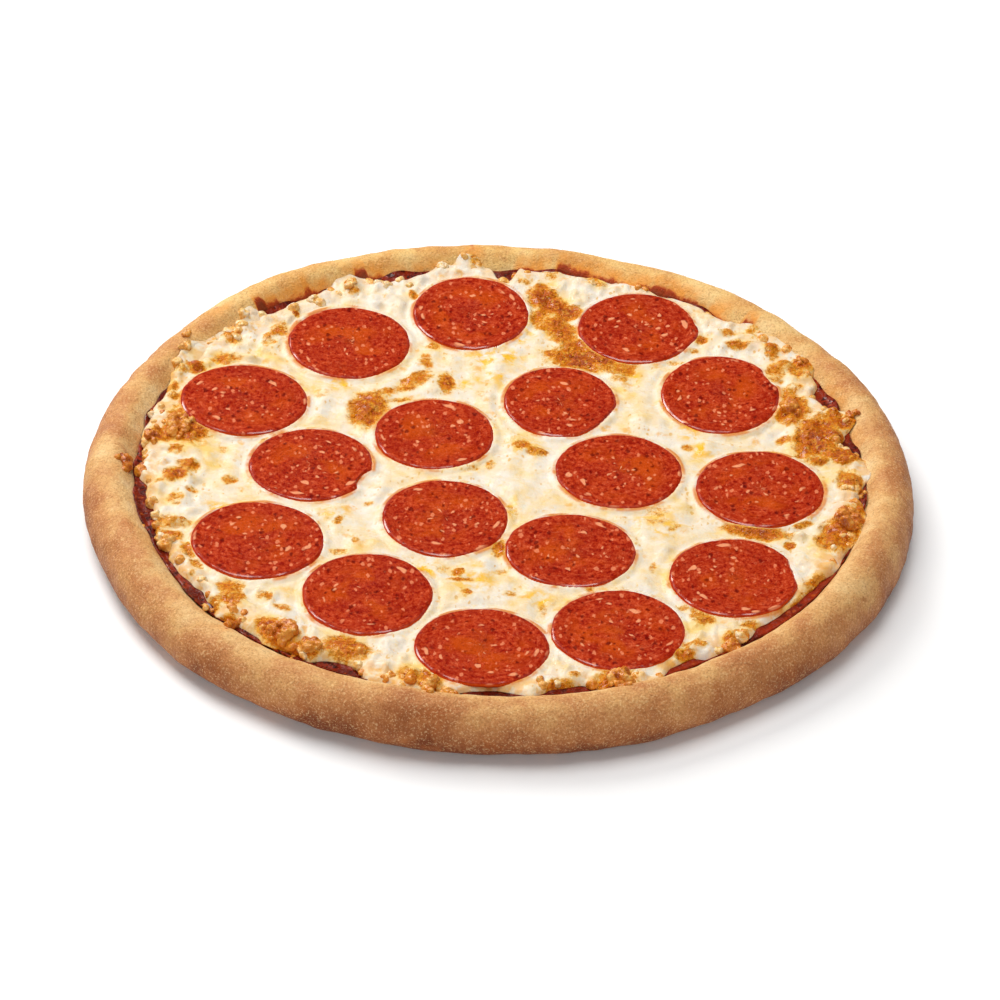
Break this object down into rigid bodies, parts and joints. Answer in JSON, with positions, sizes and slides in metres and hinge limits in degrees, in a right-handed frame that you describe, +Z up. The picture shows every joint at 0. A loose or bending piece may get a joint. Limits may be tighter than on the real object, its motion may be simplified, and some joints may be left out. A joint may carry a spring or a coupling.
{
  "type": "pepperoni pizza",
  "caption": "Whole round pizza with a raised crust, sauce, melted cheese and sausage slices, baked and uncut, lying flat.",
  "frame": {"origin": "middle of the flat underside of the crust", "axes": "+Z up through the toppings, -Y towards the side shown nearest, +X to its right"},
  "size_m": [0.3, 0.3, 0.0222],
  "materials": {
    "crust": "matt baked dough, golden tan with browner patches and a fine grain",
    "sauce": "wet dark red tomato sauce",
    "cheese": "soft sheen, creamy melted cheese with golden brown patches",
    "pepperoni": "oily red sausage with pale fat flecks"
  },
  "bodies": {
    "root": {"crust": "crust", "sauce": "sauce", "cheese": "cheese", "pepperoni_01": "pepperoni", "pepperoni_02": "pepperoni", "pepperoni_03": "pepperoni", "pepperoni_04": "pepperoni", "pepperoni_05": "pepperoni", "pepperoni_06": "pepperoni", "pepperoni_07": "pepperoni", "pepperoni_08": "pepperoni", "pepperoni_09": "pepperoni", "pepperoni_10": "pepperoni", "pepperoni_11": "pepperoni", "pepperoni_12": "pepperoni", "pepperoni_13": "pepperoni", "pepperoni_14": "pepperoni", "pepperoni_15": "pepperoni", "pepperoni_16": "pepperoni", "pepperoni_17": "pepperoni"}
  },
  "joints": []
}
